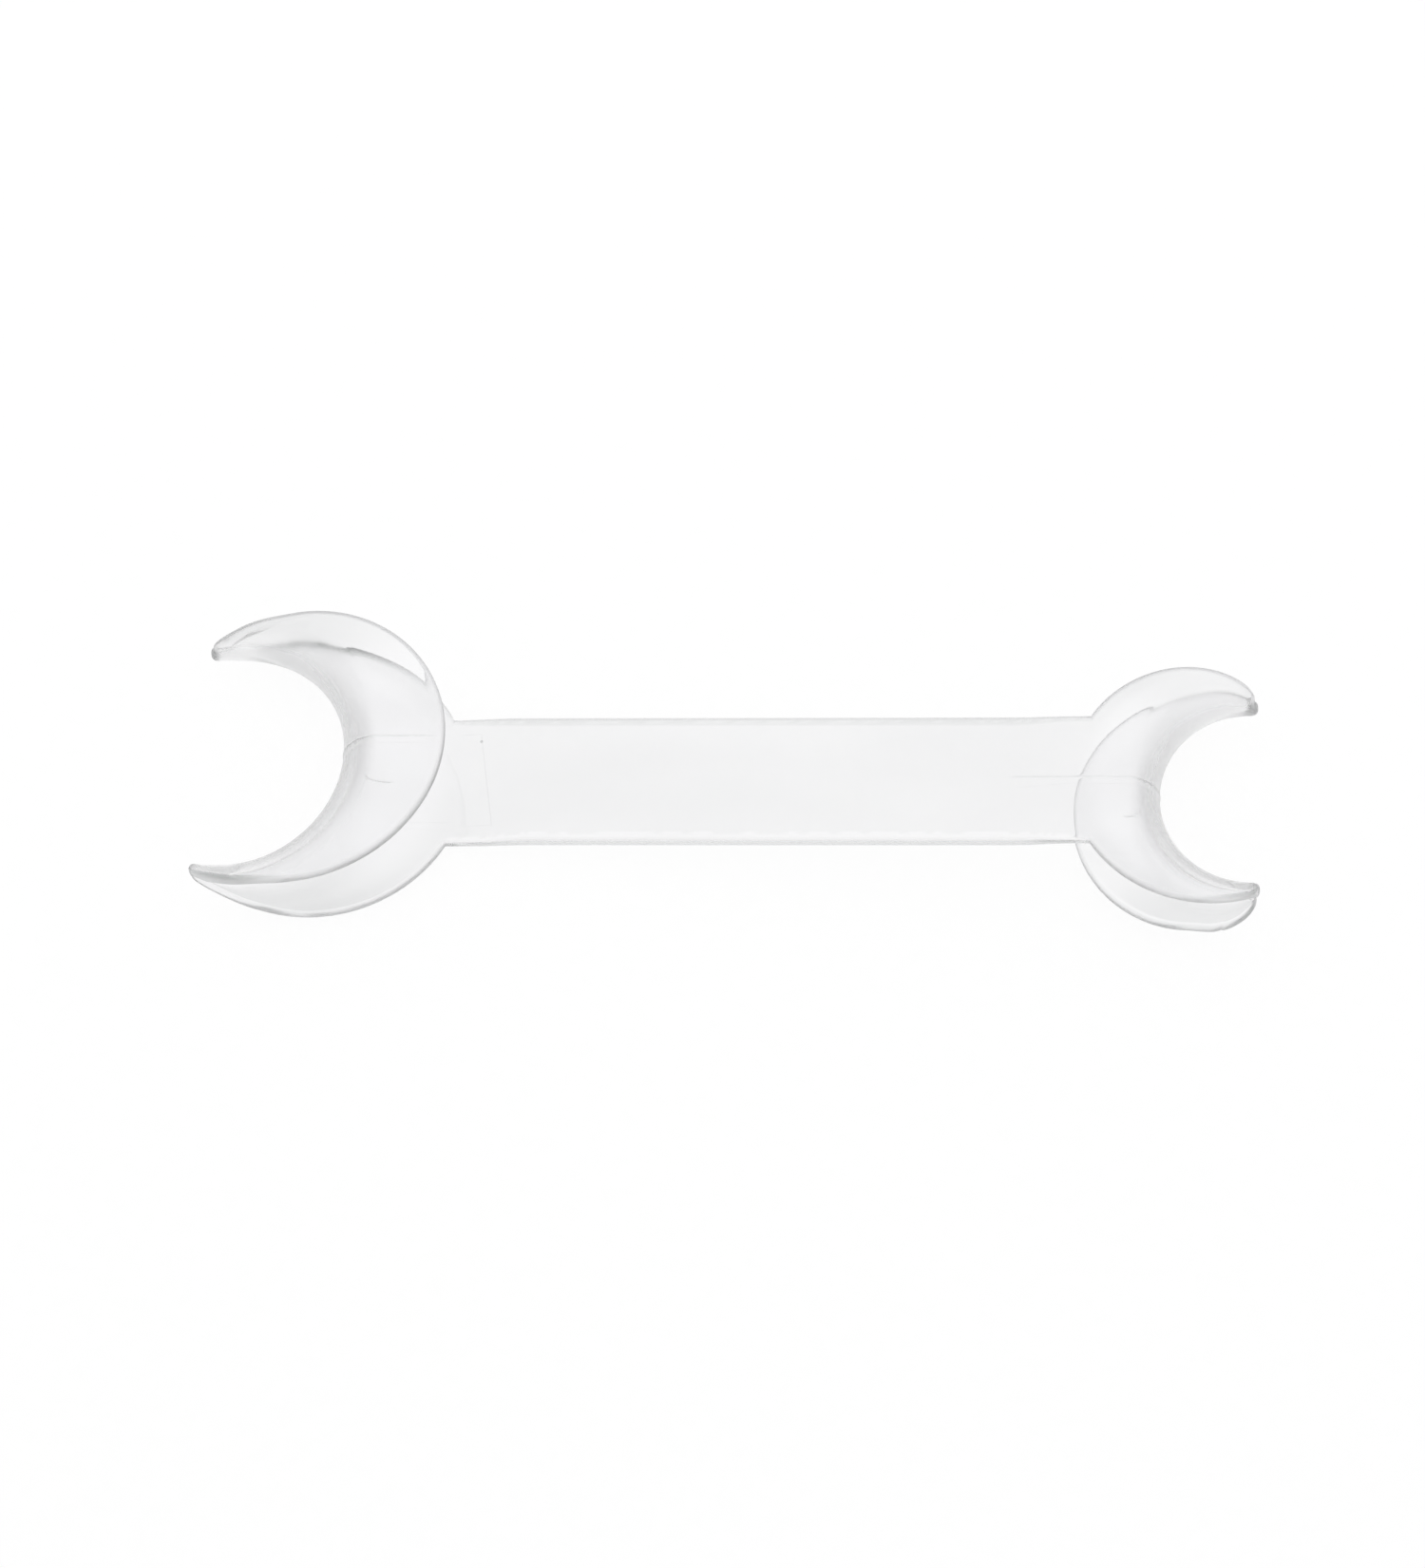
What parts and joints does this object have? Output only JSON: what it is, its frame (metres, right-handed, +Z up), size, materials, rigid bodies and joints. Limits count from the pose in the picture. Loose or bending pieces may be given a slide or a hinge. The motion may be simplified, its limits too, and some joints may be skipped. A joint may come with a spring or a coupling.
{
  "type": "cheek retractor",
  "caption": "Double-ended clear plastic cheek retractor: a flat bar handle with a large and a small crescent head, each a channel that holds the lip.",
  "frame": {"origin": "middle of the part's length and width, on the table that it lies on", "axes": "+X along the bar towards the small head, +Y across the bar, +Z up from the table"},
  "size_m": [0.1519, 0.0452, 0.0152],
  "materials": {
    "clear_plastic": "clear, colourless, polished polycarbonate"
  },
  "bodies": {
    "root": {"handle_bar": "clear_plastic", "large_saddle_left": "clear_plastic", "large_saddle_right": "clear_plastic", "large_lower_flange": "clear_plastic", "large_upper_flange": "clear_plastic", "large_tips": "clear_plastic", "small_saddle_left": "clear_plastic", "small_saddle_right": "clear_plastic", "small_upper_flange": "clear_plastic", "small_lower_flange": "clear_plastic", "small_tips": "clear_plastic"}
  },
  "joints": []
}
